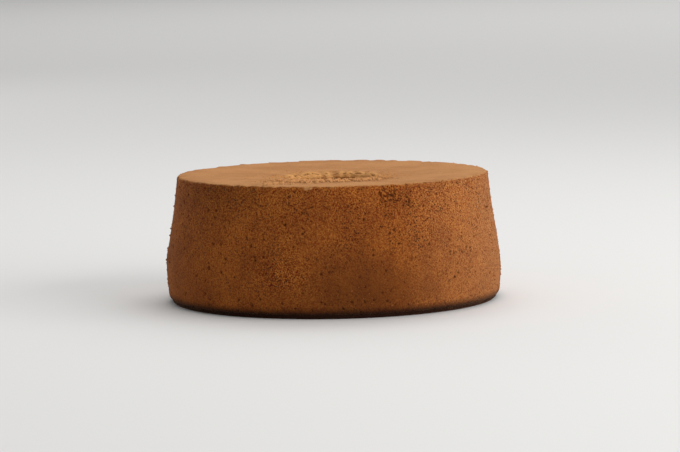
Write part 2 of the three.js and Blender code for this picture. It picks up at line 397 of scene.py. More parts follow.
grain_share = add(tree, "ShaderNodeMath", {0: side_share, 1: coarse}, operation="MULTIPLY")
grain_even = add(tree, "ShaderNodeMix", {
    0: grain_share, 6: (1, 1, 1, 1), 7: grain_tint,
}, data_type="RGBA", clamp_factor=False)
grained = add(tree, "ShaderNodeVectorMath", {0: zone_colour, 1: grain_even}, operation="MULTIPLY")
skin_colour = add(tree, "ShaderNodeMix", {
    0: pit_painted_shade, 6: grained, 7: linear(PORE_SHADE_BROWN),
}, data_type="RGBA")

# The foot's crust is darkest where it turns under, partly its own dark baked crust and partly
# painted shade where it tucks in by the floor; the underside is brown again.
at_base = add(tree, "ShaderNodeMapRange", {
    "Value": edge_height, "From Min": CRUST_AND_SHADE_FOOT[0], "From Max": CRUST_AND_SHADE_FOOT[1],
})
at_foot = add(tree, "ShaderNodeMapRange", {
    "Value": radius, "From Min": CRUST_AND_SHADE_EDGE[0], "From Max": CRUST_AND_SHADE_EDGE[1],
})
crust_and_shade = add(tree, "ShaderNodeMath", {0: at_base, 1: at_foot}, operation="MULTIPLY")
baked = add(tree, "ShaderNodeMix", {
    0: crust_and_shade, 6: skin_colour, 7: linear(BASE_CRUST_AND_SHADE),
}, data_type="RGBA")
pit_height = add(tree, "ShaderNodeMath", {0: 1.0, 1: fine_shown}, operation="SUBTRACT")
bump_height = add(tree, "ShaderNodeMath", {
    0: grain_spread, 1: 0.5, 2: pit_height,
}, operation="MULTIPLY_ADD")
bump = add(tree, "ShaderNodeBump", {"Strength": 1.0, "Distance": SKIN_BUMP, "Height": bump_height})
surface = add(tree, "ShaderNodeBsdfPrincipled", {
    "Base Color": baked, "Roughness": 0.95, "IOR": 1.4, "Specular IOR Level": 0.15, "Normal": bump,
    "Sheen Weight": 0.3, "Sheen Roughness": 0.3, "Sheen Tint": linear(SKIN_SHEEN),
})
add(tree, "ShaderNodeOutputMaterial", {"Surface": surface})

# Golden chiffon crumb: the open, dry sponge inside, where the tube took its skin away.
SPONGE_GOLD = "#e6bf66"
SPONGE_GOLD_DEEP = "#cb984a"
SPONGE_GRAIN = 3 * MM
SPONGE_BUMP = 0.6 * MM

sponge = bpy.data.materials.new("Golden chiffon crumb")
sponge.use_nodes = True
tree = sponge.node_tree
tree.nodes.clear()
place = add(tree, "ShaderNodeTexCoord").outputs["Object"]
sponge_noise = add(tree, "ShaderNodeTexNoise", {
    "Vector": place, "Scale": 1 / SPONGE_GRAIN, "Detail": 4, "Roughness": 0.65,
})
sponge_mix = add(tree, "ShaderNodeMapRange", {"Value": sponge_noise, "From Min": 0.35, "From Max": 0.65})
sponge_colour = add(tree, "ShaderNodeMix", {
    0: sponge_mix, 6: linear(SPONGE_GOLD_DEEP), 7: linear(SPONGE_GOLD),
}, data_type="RGBA")
bump = add(tree, "ShaderNodeBump", {"Strength": 0.8, "Distance": SPONGE_BUMP, "Height": sponge_noise})
surface = add(tree, "ShaderNodeBsdfPrincipled", {
    "Base Color": sponge_colour, "Roughness": 0.9, "IOR": 1.4, "Specular IOR Level": 0.2, "Normal": bump,
})
add(tree, "ShaderNodeOutputMaterial", {"Surface": surface})


# ---- The cake -------------------------------------------------------------------------------
# One closed body of sponge and skin. The lathe turns the section, and every point is then
# pushed along its normal by the relief: slow swells, the bites, open bubbles, wrinkles and
# cracks, and scraps of the skin that stand up.

TURNS = 1080
MOST_TRIANGLES = 196_000
SWELL = 0.6 * MM
SWELL_LENGTH = 45 * MM
PORE_SPACING = 3.1 * MM
PORE_DEPTH = 0.9 * MM
PORE_SIZES = 0.05, 0.42
PORE_WALL = 4.5
PORE_OPENNESS = 0.7, 1.15
PORE_OPEN_SPACING = 20 * MM
PORES_ON_TOP = 0.12
PORES_ADDED_ON_SIDE = 0.85
CRAG_SPACING = 2.6 * MM
CRAG_HEIGHT = 1.0 * MM
CRAG_SHARES = 0.05, 0.7
RUFFLE_SPACING = 4 * MM
RUFFLE_HEIGHT = 1.4 * MM
CRUMB_LENGTH = 5 * MM
CRUMB_DEPTH = 1.7 * MM
CRUMB_ON_LIP = 0.18
CRUMB_ON_SKIN = 0.16
BARE_BELOW = HEIGHT - 13 * MM
BARE_SWING = 34 * MM

# How much of each zone's relief a point takes. Round the rim and the lip, each with its middle
# in the section, it is all up to the first distance and none past the second. On the side and
# on the tube's wall it is none at the first radius and all at the second. The last two go by
# height, so that the base stays flat and the ruffles keep to the top.
EDGE_ZONES = {
    "rim": ((RIM_RADIUS - 1.2 * MM, HEIGHT - 1.2 * MM, 0), 2.5 * MM, 7 * MM),
    "lip": ((LIP_RADIUS - 3.4 * MM, LIP_HEIGHT - 2 * MM, 0), 4.5 * MM, 8.5 * MM),
}
FACE_ZONES = {
    "side": (RIM_RADIUS - 3.6 * MM, RIM_RADIUS - 0.6 * MM),
    "tube": (LIP_RADIUS - 1 * MM, TUBE_TOP_RADIUS + 0.5 * MM),
}
OFF_BASE = 0.2 * MM, 4 * MM
TOP_PLANE = LIP_HEIGHT - 4 * MM, LIP_HEIGHT - 1 * MM

# Places where the skin differs, each with its middle on the side, as an angle and a height, and
# its half-width and half-height. Its skin may stand out, in mm, be wrinkled, hang over the rim
# from the top, have more or fewer open pores, or be darker: browned more, and at the front's
# foot a painted shadow.
PLACES = [
    {"at": (180, 34), "half": (26, 8), "rise": 0.8},
    {"at": (290, 86), "half": (10, 5), "rise": -0.5, "wrinkled": 1.5},
    {"at": (297, 80), "half": (5, 7), "rise": -0.4, "wrinkled": 1.5},
    {"at": (260.4, 92.6), "half": (1.3, 1.6), "rise": 0.7, "hanging": 1.2},
    {"at": (262, 92.8), "half": (2.4, 1.1), "rise": 0.7, "hanging": 1.2},
    {"at": (252.5, 31), "half": (17, 13), "open": 0.8},
    {"at": (281, 24), "half": (32, 22), "open": -0.3},
    # Painted shadow: darker low at the front, where shade falls on the foot.
    {"at": (278, 10), "half": (52, 43), "baked": 0.46},
    # Browned darker high on the left, under the rim.
    {"at": (225, 89), "half": (42, 15), "baked": 0.28},
]
WRINKLE_LEAN = math.radians(35)
WRINKLE_LENGTH = 2.8 * MM
WRINKLE_WIDTH = 1.3 * MM
WRINKLE_DEPTH = 1.0 * MM
WRINKLE_SHADE_DARKNESS = 0.8

# Cracks round the inside of the lip, each with its depth below the top, its half-height, and
# the share of its turn that is open. The crumb's noise says where, from its value at which no
# part of a crack is open to its value at which nearly all of it is.
LIP_CRACKS = [
    {"below": 0.9, "half": 0.55, "open": 0.5},
    {"below": 5.5, "half": 1.2, "open": 0.75},
]
CRACK_DEPTH = 1.5 * MM
CRACK_NOISE = 0.3, 0.54
CRACK_FADE = 0.08

# Places of the top that are ruffled, each with its middle and its half-widths, in mm from the
# axis, and the share of it that stands up.
RUFFLED_PLACES = [
    ((-10, -57), (38, 22), 0.85),
    ((30, -44), (15, 12), 0.55),
    ((-42, -92), (26, 10), 0.42),
]
RUFFLE_PULL = 0.22
RUFFLE_RAISED = 0.66, 0.72
RUFFLE_EDGE = 0.65
# The scraps' gaps are darkened as painted shade.
RUFFLE_GAP_SHADE = 0.032, 0.008
RUFFLE_GAP_SHADE_DARKNESS = 0.85

relief = bpy.data.node_groups.new("Turned and baked", "GeometryNodeTree")
for name, kind in {
    "Section": "Geometry", "Bites": "Object", "Turns": "Int", "Rim radius": "Float",
    "Swell": "Float", "Swell length": "Float", "Pore spacing": "Float", "Pore depth": "Float",
    "Crag spacing": "Float", "Crag height": "Float", "Ruffle spacing": "Float", "Ruffle height": "Float",
    "Crumb length": "Float", "Crumb depth": "Float",
    "Wrinkle depth": "Float", "Crack depth": "Float",
    "Skin": "Material", "Sponge": "Material",
}.items():
    relief.interface.new_socket(name, in_out="INPUT", socket_type="NodeSocket" + kind)
relief.interface.new_socket("Cake", in_out="OUTPUT", socket_type="NodeSocketGeometry")
given = add(relief, "NodeGroupInput").outputs

profile = add(relief, "GeometryNodeMeshToCurve", {"Mesh": given["Section"]})
circle = add(relief, "GeometryNodeCurvePrimitiveCircle", {
    "Resolution": given["Turns"], "Radius": given["Rim radius"],
})
turned = add(relief, "GeometryNodeCurveToMesh", {"Curve": circle, "Profile Curve": profile})

place = add(relief, "GeometryNodeInputPosition")
axes = add(relief, "ShaderNodeSeparateXYZ", {0: place}).outputs
level = add(relief, "ShaderNodeVectorMath", {0: place, 1: (1, 1, 0)}, operation="MULTIPLY")
radius = add(relief, "ShaderNodeVectorMath", {0: level}, operation="LENGTH").outputs["Value"]
angle = add(relief, "ShaderNodeMath", {0: axes["Y"], 1: axes["X"]}, operation="ARCTAN2")
wound = add(relief, "ShaderNodeMath", {0: angle, 1: 1 / (2 * math.pi), 2: 1.0}, operation="MULTIPLY_ADD")
turn = add(relief, "ShaderNodeMath", {0: wound}, operation="FRACT")
in_section = add(relief, "ShaderNodeCombineXYZ", {0: radius, 1: axes["Z"]})

shares = {}
for zone, (middle, near, far) in EDGE_ZONES.items():
    gap = add(relief, "ShaderNodeVectorMath", {0: in_section, 1: middle}, operation="DISTANCE")
    shares[zone] = add(relief, "ShaderNodeMapRange", {
        "Value": gap.outputs["Value"], "From Min": near, "From Max": far, "To Min": 1, "To Max": 0,
    }, interpolation_type="SMOOTHSTEP")
for zone, (none, full) in FACE_ZONES.items():
    shares[zone] = add(relief, "ShaderNodeMapRange", {"Value": radius, "From Min": none, "From Max": full})
off_base = add(relief, "ShaderNodeMapRange", {
    "Value": axes["Z"], "From Min": OFF_BASE[0], "From Max": OFF_BASE[1],
})

bite_object = add(relief, "GeometryNodeObjectInfo", {"Object": given["Bites"]}).outputs["Geometry"]
bite_curve = add(relief, "GeometryNodeMeshToCurve", {"Mesh": bite_object})
bite_in = {}
for edge in ("rim", "lip"):
    depth = add(relief, "GeometryNodeInputNamedAttribute", {"Name": edge + "_bite"}, data_type="FLOAT")
    at_turn = add(relief, "GeometryNodeSampleCurve", {
        "Curves": bite_curve, "Value": depth, "Factor": turn,
    }, data_type="FLOAT", mode="FACTOR").outputs["Value"]
    bite_in[edge] = add(relief, "ShaderNodeMath", {0: at_turn, 1: shares[edge]}, operation="MULTIPLY")

wave = add(relief, "ShaderNodeMath", {0: 1.0, 1: given["Swell length"]}, operation="DIVIDE")
swell = add(relief, "ShaderNodeTexNoise", {"Vector": place, "Scale": wave, "Detail": 1.0})
swell_middle = add(relief, "ShaderNodeMath", {0: swell, 1: 0.5}, operation="SUBTRACT")
swell_out = add(relief, "ShaderNodeMath", {0: swell_middle, 1: given["Swell"]}, operation="MULTIPLY")

# Open bubbles: in each cell a pit whose size is the cell's own, larger where the skin is open.
# On the top they are shallow.
cells = add(relief, "ShaderNodeMath", {0: 1.0, 1: given["Pore spacing"]}, operation="DIVIDE")
pores = add(relief, "ShaderNodeTexVoronoi", {"Vector": place, "Scale": cells})
pore_draw = add(relief, "ShaderNodeSeparateXYZ", {0: pores.outputs["Color"]})
open_skin = add(relief, "ShaderNodeTexNoise", {
    "Vector": place, "Scale": 1 / PORE_OPEN_SPACING, "Detail": 2.0,
})
openness = add(relief, "ShaderNodeMapRange", {
    "Value": open_skin, "From Min": 0.35, "From Max": 0.65,
    "To Min": PORE_OPENNESS[0], "To Max": PORE_OPENNESS[1],
})
pore_size = add(relief, "ShaderNodeMapRange", {
    "Value": pore_draw, "From Min": 0.3, "To Min": PORE_SIZES[0], "To Max": PORE_SIZES[1],
})
pore_open = add(relief, "ShaderNodeMath", {0: pore_size, 1: openness}, operation="MULTIPLY")
pore_gap = add(relief, "ShaderNodeMath", {0: pore_open, 1: pores.outputs["Distance"]}, operation="SUBTRACT")
pore_pit = add(relief, "ShaderNodeMath", {0: pore_gap, 1: PORE_WALL}, operation="MULTIPLY", use_clamp=True)
pore_zone = add(relief, "ShaderNodeMath", {
    0: shares["side"], 1: PORES_ADDED_ON_SIDE, 2: PORES_ON_TOP,
}, operation="MULTIPLY_ADD")
pore_share = add(relief, "ShaderNodeMath", {0: pore_pit, 1: pore_zone}, operation="MULTIPLY")
pore_in = add(relief, "ShaderNodeMath", {0: pore_share, 1: given["Pore depth"]}, operation="MULTIPLY")

# Wrinkles lean across the side, long one way and narrow the other.
turned_by = add(relief, "ShaderNodeMath", {0: angle, 1: RIM_RADIUS}, operation="MULTIPLY")
unrolled = add(relief, "ShaderNodeCombineXYZ", {0: turned_by, 1: axes["Z"]})
leaning = add(relief, "ShaderNodeVectorRotate", {
    "Vector": unrolled, "Angle": WRINKLE_LEAN,
}, rotation_type="Z_AXIS")
drawn_out = (1 / WRINKLE_LENGTH, 1 / WRINKLE_WIDTH, 0)
leaning = add(relief, "ShaderNodeVectorMath", {0: leaning, 1: drawn_out}, operation="MULTIPLY")
wrinkles = add(relief, "ShaderNodeTexNoise", {"Vector": leaning, "Scale": 1.0, "Detail": 2.0})
wrinkle = add(relief, "ShaderNodeMapRange", {"Value": wrinkles, "From Min": 0.52, "From Max": 0.4})

# Each place fades out from its middle, to 1 / e of itself at its half-width.
effects = dict.fromkeys(("rise", "wrinkled", "hanging", "open", "baked"), 0.0)
for spot in PLACES:
    apart = add(relief, "ShaderNodeMath", {0: angle, 1: math.radians(spot["at"][0])}, operation="SUBTRACT")
    apart = add(relief, "ShaderNodeMath", {0: apart, 1: -math.pi, 2: math.pi}, operation="WRAP")
    across = add(relief, "ShaderNodeMath", {0: apart, 1: radius}, operation="MULTIPLY")
    up = add(relief, "ShaderNodeMath", {0: axes["Z"], 1: spot["at"][1] * MM}, operation="SUBTRACT")
    away = add(relief, "ShaderNodeCombineXYZ", {0: across, 1: up})
    half = (spot["half"][0] * MM, spot["half"][1] * MM, 1)
    away = add(relief, "ShaderNodeVectorMath", {0: away, 1: half}, operation="DIVIDE")
    away = add(relief, "ShaderNodeVectorMath", {0: away, 1: away}, operation="DOT_PRODUCT").outputs["Value"]
    fading = add(relief, "ShaderNodeMath", {0: 1 / math.e, 1: away}, operation="POWER")
    fading = add(relief, "ShaderNodeMath", {0: fading, 1: shares["side"]}, operation="MULTIPLY")
    for effect in effects.keys() & spot.keys():
        effects[effect] = add(relief, "ShaderNodeMath", {
            0: fading, 1: spot[effect], 2: effects[effect],
        }, operation="MULTIPLY_ADD")
place_out = add(relief, "ShaderNodeMath", {0: effects["rise"], 1: MM}, operation="MULTIPLY")
wrinkle_share = add(relief, "ShaderNodeMath", {0: wrinkle, 1: effects["wrinkled"]}, operation="MULTIPLY")
wrinkle_in = add(relief, "ShaderNodeMath", {
    0: wrinkle_share, 1: given["Wrinkle depth"],
}, operation="MULTIPLY")

# Crags are small knobs of torn crumb on the lip, most of them at its front.
crag_cells = add(relief, "ShaderNodeMath", {0: 1.0, 1: given["Crag spacing"]}, operation="DIVIDE")
crags = add(relief, "ShaderNodeTexVoronoi", {"Vector": place, "Scale": crag_cells})
crag_draw = add(relief, "ShaderNodeSeparateXYZ", {0: crags.outputs["Color"]})
crag_round = add(relief, "ShaderNodeMapRange", {
    "Value": crags.outputs["Distance"], "From Min": 0.6, "From Max": 0.1,
}, interpolation_type="SMOOTHSTEP")
to_front = add(relief, "ShaderNodeMapRange", {
    "Value": axes["Y"], "From Min": LIP_RADIUS / 3, "From Max": -LIP_RADIUS / 3,
    "To Min": CRAG_SHARES[0], "To Max": CRAG_SHARES[1],
})
on_lip = add(relief, "ShaderNodeMath", {0: shares["lip"], 1: to_front}, operation="MULTIPLY")
crag_there = add(relief, "ShaderNodeMath", {0: on_lip, 1: crag_draw}, operation="SUBTRACT")
crag_there = add(relief, "ShaderNodeMath", {0: crag_there, 1: 3.0}, operation="MULTIPLY", use_clamp=True)
crag_share = add(relief, "ShaderNodeMath", {0: crag_round, 1: crag_there}, operation="MULTIPLY")
crag_out = add(relief, "ShaderNodeMath", {0: crag_share, 1: given["Crag height"]}, operation="MULTIPLY")

# Ruffles are scraps of the top's skin that stand up, each with painted shade in the gap along
# its edge. They cover most of the ruffled places' middles, and only here and there a scrap further out.
ruffled = 0.0
for middle, half, share in RUFFLED_PLACES:
    away = add(relief, "ShaderNodeVectorMath", {
        0: level, 1: Vector((*middle, 0)) * MM,
    }, operation="SUBTRACT")
    half = (half[0] * MM, half[1] * MM, 1)
    away = add(relief, "ShaderNodeVectorMath", {0: away, 1: half}, operation="DIVIDE")
    away = add(relief, "ShaderNodeVectorMath", {0: away, 1: away}, operation="DOT_PRODUCT").outputs["Value"]
    fading = add(relief, "ShaderNodeMath", {0: 1 / math.e, 1: away}, operation="POWER")
    ruffled = add(relief, "ShaderNodeMath", {0: fading, 1: share, 2: ruffled}, operation="MULTIPLY_ADD")
on_plane = add(relief, "ShaderNodeMapRange", {
    "Value": axes["Z"], "From Min": TOP_PLANE[0], "From Max": TOP_PLANE[1],
})
ruffled = add(relief, "ShaderNodeMath", {0: ruffled, 1: on_plane}, operation="MULTIPLY")
scrap_wave = add(relief, "ShaderNodeMath", {0: 1.0, 1: given["Ruffle spacing"]}, operation="DIVIDE")
scraps = add(relief, "ShaderNodeTexNoise", {
    "Vector": place, "Scale": scrap_wave, "Detail": 3.0, "Roughness": 0.6,
})
scrap_line = add(relief, "ShaderNodeMath", {
    0: ruffled, 1: RUFFLE_PULL, 2: scraps,
}, operation="MULTIPLY_ADD")
scrap_there = add(relief, "ShaderNodeMath", {0: ruffled, 1: 3.0}, operation="MULTIPLY", use_clamp=True)
scrap_raised = add(relief, "ShaderNodeMapRange", {
    "Value": scrap_line, "From Min": RUFFLE_RAISED[0], "From Max": RUFFLE_RAISED[1],
}, interpolation_type="SMOOTHSTEP")
scrap_share = add(relief, "ShaderNodeMath", {0: scrap_raised, 1: scrap_there}, operation="MULTIPLY")
ruffle_out = add(relief, "ShaderNodeMath", {
    0: scrap_share, 1: given["Ruffle height"],
}, operation="MULTIPLY")
from_edge = add(relief, "ShaderNodeMath", {0: scrap_line, 1: RUFFLE_EDGE}, operation="SUBTRACT")
from_edge = add(relief, "ShaderNodeMath", {0: from_edge}, operation="ABSOLUTE")
gap_shade_mark = add(relief, "ShaderNodeMapRange", {
    "Value": from_edge, "From Min": RUFFLE_GAP_SHADE[0], "From Max": RUFFLE_GAP_SHADE[1],
    "To Max": RUFFLE_GAP_SHADE_DARKNESS,
})
gap_shade_mark = add(relief, "ShaderNodeMath", {0: gap_shade_mark, 1: scrap_there}, operation="MULTIPLY")

# The open crumb of the tube's wall, of which a little shows on the lip and on all the skin.
crumb_wave = add(relief, "ShaderNodeMath", {0: 1.0, 1: given["Crumb length"]}, operation="DIVIDE")
crumb = add(relief, "ShaderNodeTexNoise", {
    "Vector": place, "Scale": crumb_wave, "Detail": 3.0, "Roughness": 0.6,
})
crumb_middle = add(relief, "ShaderNodeMath", {0: crumb, 1: 0.5}, operation="SUBTRACT")
crumb_on_lip = add(relief, "ShaderNodeMath", {0: shares["lip"], 1: CRUMB_ON_LIP}, operation="MULTIPLY")
crumb_zone = add(relief, "ShaderNodeMath", {0: shares["tube"], 1: crumb_on_lip}, operation="MAXIMUM")
crumb_least = add(relief, "ShaderNodeMath", {0: crumb_zone, 1: CRUMB_ON_SKIN}, operation="MAXIMUM")
crumb_share = add(relief, "ShaderNodeMath", {0: crumb_middle, 1: crumb_least}, operation="MULTIPLY")
crumb_out = add(relief, "ShaderNodeMath", {0: crumb_share, 1: given["Crumb depth"]}, operation="MULTIPLY")

crack_share = 0.0
in_hole = add(relief, "ShaderNodeMath", {0: radius, 1: LIP_RADIUS + 1 * MM}, operation="LESS_THAN")
for crack in LIP_CRACKS:
    crack_height = LIP_HEIGHT - crack["below"] * MM
    all_open = CRACK_NOISE[0] + crack["open"] * (CRACK_NOISE[1] - CRACK_NOISE[0])
    down = add(relief, "ShaderNodeMath", {0: axes["Z"], 1: crack_height}, operation="SUBTRACT")
    down = add(relief, "ShaderNodeMath", {0: down}, operation="ABSOLUTE")
    in_crack = add(relief, "ShaderNodeMapRange", {
        "Value": down, "From Min": crack["half"] * MM, "From Max": 0,
    })
    opened = add(relief, "ShaderNodeMapRange", {
        "Value": crumb, "From Min": all_open + CRACK_FADE, "From Max": all_open,
    })
    in_crack = add(relief, "ShaderNodeMath", {0: in_crack, 1: opened}, operation="MULTIPLY")
    crack_share = add(relief, "ShaderNodeMath", {
        0: in_crack, 1: in_hole, 2: crack_share,
    }, operation="MULTIPLY_ADD")
crack_in = add(relief, "ShaderNodeMath", {0: crack_share, 1: given["Crack depth"]}, operation="MULTIPLY")

stands_out = swell_out
for raised in (crumb_out, place_out, crag_out, ruffle_out):
    stands_out = add(relief, "ShaderNodeMath", {0: stands_out, 1: raised}, operation="ADD")
for sunk in (bite_in["rim"], bite_in["lip"], pore_in, wrinkle_in, crack_in):
    stands_out = add(relief, "ShaderNodeMath", {0: stands_out, 1: sunk}, operation="SUBTRACT")
stands_out = add(relief, "ShaderNodeMath", {0: stands_out, 1: off_base}, operation="MULTIPLY")
normal = add(relief, "GeometryNodeInputNormal")
push = add(relief, "ShaderNodeVectorMath", {0: normal, "Scale": stands_out}, operation="SCALE")

# What the skin's material reads: how deep in a pore, wrinkle, crack or scrap's gap a point is,
# which it paints as shade, where scraps stand, and the places' effects. Bare of skin is the
# tube's wall, up to a ragged line.
pit_shade_mark = add(relief, "ShaderNodeMath", {
    0: wrinkle_share, 1: WRINKLE_SHADE_DARKNESS, 2: pore_share,
}, operation="MULTIPLY_ADD")
pit_shade_mark = add(relief, "ShaderNodeMath", {0: pit_shade_mark, 1: crack_share}, operation="ADD")
pit_shade_mark = add(relief, "ShaderNodeMath", {0: pit_shade_mark, 1: gap_shade_mark}, operation="ADD")
bare_line = add(relief, "ShaderNodeMath", {
    0: crumb_middle, 1: BARE_SWING, 2: axes["Z"],
}, operation="MULTIPLY_ADD")
bare_height = add(relief, "ShaderNodeMath", {0: bare_line, 1: BARE_BELOW}, operation="LESS_THAN")
bare_radius = add(relief, "ShaderNodeMath", {0: radius, 1: TUBE_TOP_RADIUS + 1 * MM}, operation="LESS_THAN")
bare = add(relief, "ShaderNodeMath", {0: bare_height, 1: bare_radius}, operation="MULTIPLY")
marks = {
    "pit": pit_shade_mark, "bare": bare, "scrap": scrap_share,
    **{name: effects[name] for name in ("hanging", "open", "baked")},
}
marked = turned
for name, value in marks.items():
    marked = add(relief, "GeometryNodeStoreNamedAttribute", {
        "Geometry": marked, "Name": name, "Value": value,
    }, data_type="FLOAT", domain="POINT")

# The points are pushed out, and none of them is left below the floor.
pushed = add(relief, "GeometryNodeSetPosition", {"Geometry": marked, "Offset": push})
after = add(relief, "GeometryNodeInputPosition")
stood = add(relief, "ShaderNodeVectorMath", {0: after, 1: (-1, -1, 0)}, operation="MAXIMUM")
pushed = add(relief, "GeometryNodeSetPosition", {"Geometry": pushed, "Position": stood})
plain = add(relief, "GeometryNodeRealizeInstances", {"Geometry": pushed})
covered = add(relief, "GeometryNodeSetMaterial", {"Geometry": plain, "Material": given["Skin"]})
bare_mark = add(relief, "GeometryNodeInputNamedAttribute", {"Name": "bare"}, data_type="FLOAT")
is_bare = add(relief, "FunctionNodeCompare", {
    0: bare_mark, 1: 0.5,
}, data_type="FLOAT", operation="GREATER_THAN")
covered = add(relief, "GeometryNodeSetMaterial", {
    "Geometry": covered, "Selection": is_bare, "Material": given["Sponge"],
})
add(relief, "NodeGroupOutput", {"Cake": covered})


def grown(thing, tree, sizes, name):
    """The plain mesh that a tree of geometry nodes makes of an object, as a new object."""
    modifier = thing.modifiers.new(tree.name, "NODES")
    modifier.node_group = tree
    for socket, value in sizes.items():
        modifier[tree.interface.items_tree[socket].identifier] = value
    mesh = bpy.data.meshes.new_from_object(thing.evaluated_get(bpy.context.evaluated_depsgraph_get()))
    thing.modifiers.remove(modifier)
    mesh.name = name
    made = bpy.data.objects.new(name, mesh)
    bpy.context.scene.collection.objects.link(made)
    return made


cake = grown(section_loop, relief, {
    "Bites": bite_ring, "Turns": TURNS, "Rim radius": RIM_RADIUS,
    "Swell": SWELL, "Swell length": SWELL_LENGTH, "Pore spacing": PORE_SPACING, "Pore depth": PORE_DEPTH,
    "Crag spacing": CRAG_SPACING, "Crag height": CRAG_HEIGHT,
    "Ruffle spacing": RUFFLE_SPACING, "Ruffle height": RUFFLE_HEIGHT,
    "Crumb length": CRUMB_LENGTH, "Crumb depth": CRUMB_DEPTH,
    "Wrinkle depth": WRINKLE_DEPTH, "Crack depth": CRACK_DEPTH, "Skin": skin, "Sponge": sponge,
}, "cake_body")

# The lathe's even net is thinned to where the relief needs it.
thinning = cake.modifiers.new("Thin the net", "DECIMATE")
thinning.ratio = MOST_TRIANGLES / sum(len(face.vertices) - 2 for face in cake.data.polygons)
thinned = bpy.data.meshes.new_from_object(cake.evaluated_get(bpy.context.evaluated_depsgraph_get()))
cake.modifiers.remove(thinning)
cake.data = thinned
cake.data.shade_smooth()
for helper in (section_loop, bite_ring):
    bpy.data.objects.remove(helper)
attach(cake, "root")
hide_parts("chiffon_cake")


# ---- The clinging crumbs -----------------------------------------------------------------------
# Loose crumb of the torn skin, that clings to the side, to the rim and most of all to the lip of
# the hole: dry, lumpy grains half sunk in the skin, and a few larger ones that stand off it.

CRUMB_SMALLEST = 0.22 * MM
CRUMB_LARGEST = 0.62 * MM
CRUMB_STANDING = 0.85 * MM
CRUMB_LUMPINESS = 0.7, 1.25
CRUMB_TINTS = 0.75, 1.35
CRUMBS_PER_SQUARE_MM = {"side": 0.06, "rim": 0.1, "lip": 0.35}
CRUMBS_AT_BACK = 0.15
CRUMBS_FROM_HEIGHT = 8 * MM
CRUMBS_ROUND_RIM = 2.5 * MM
CRUMBS_ROUND_LIP = 40 * MM

# The larger ones, each with its angle, and its distance from the axis and height, in mm.
STANDING_CRUMBS = [
    (180.5, 124.3, 39.5), (181, 125.1, 31), (179.5, 124.9, 16), (196, 117.4, 88), (203, 120, 62),
    (180, 122.3, 49), (181, 121.4, 54.5), (179.5, 117.8, 79), (180.5, 124.9, 23.5), (180, 118.9, 71),
    (342, 119.3, 70), (229, 85, 93.6), (232, 84, 93.6), (231.5, 80, 93.5), (239, 74, 93.3),
]
CRUMB_BROWN = "#804a23"
CRUMB_TAN = "#c08548"

crumb_material = bpy.data.materials.new("Loose chiffon crumb")
crumb_material.use_nodes = True
tree = crumb_material.node_tree
tree.nodes.clear()
from_top = add(tree, "ShaderNodeAttribute", attribute_name="from_top").outputs["Fac"]
tint = add(tree, "ShaderNodeAttribute", attribute_name="tint").outputs["Fac"]
crumb_colour = add(tree, "ShaderNodeMix", {
    0: from_top, 6: linear(CRUMB_BROWN), 7: linear(CRUMB_TAN),
}, data_type="RGBA")
crumb_colour = add(tree, "ShaderNodeVectorMath", {0: crumb_colour, "Scale": tint}, operation="SCALE")
surface = add(tree, "ShaderNodeBsdfPrincipled", {
    "Base Color": crumb_colour, "Roughness": 0.95, "IOR": 1.4, "Specular IOR Level": 0.15,
})
add(tree, "ShaderNodeOutputMaterial", {"Surface": surface})

standing_mesh = bpy.data.meshes.new("standing_crumbs")
standing_mesh.from_pydata([
    Matrix.Rotation(math.radians(angle), 3, "Z") @ Vector((out, 0, up)) * MM
    for angle, out, up in STANDING_CRUMBS
], [], [])
standing = bpy.data.objects.new("standing_crumbs", standing_mesh)
bpy.context.scene.collection.objects.link(standing)

scatter = bpy.data.node_groups.new("Scattered crumbs", "GeometryNodeTree")
for name, kind in {
    "Cake": "Geometry", "Standing": "Object", "Side share": "Float", "Rim share": "Float",
    "Lip share": "Float", "Smallest": "Float", "Largest": "Float", "Standing size": "Float",
    "Crumb": "Material",
}.items():
    scatter.interface.new_socket(name, in_out="INPUT", socket_type="NodeSocket" + kind)
scatter.interface.new_socket("Crumbs", in_out="OUTPUT", socket_type="NodeSocketGeometry")
given = add(scatter, "NodeGroupInput").outputs
place = add(scatter, "GeometryNodeInputPosition")
axes = add(scatter, "ShaderNodeSeparateXYZ", {0: place}).outputs
level = add(scatter, "ShaderNodeVectorMath", {0: place, 1: (1, 1, 0)}, operation="MULTIPLY")
radius = add(scatter, "ShaderNodeVectorMath", {0: level}, operation="LENGTH").outputs["Value"]
in_section = add(scatter, "ShaderNodeCombineXYZ", {0: radius, 1: axes["Z"]})
on_side = add(scatter, "ShaderNodeMath", {0: radius, 1: RIM_RADIUS - 1 * MM}, operation="GREATER_THAN")
off_floor = add(scatter, "ShaderNodeMath", {0: axes["Z"], 1: CRUMBS_FROM_HEIGHT}, operation="GREATER_THAN")

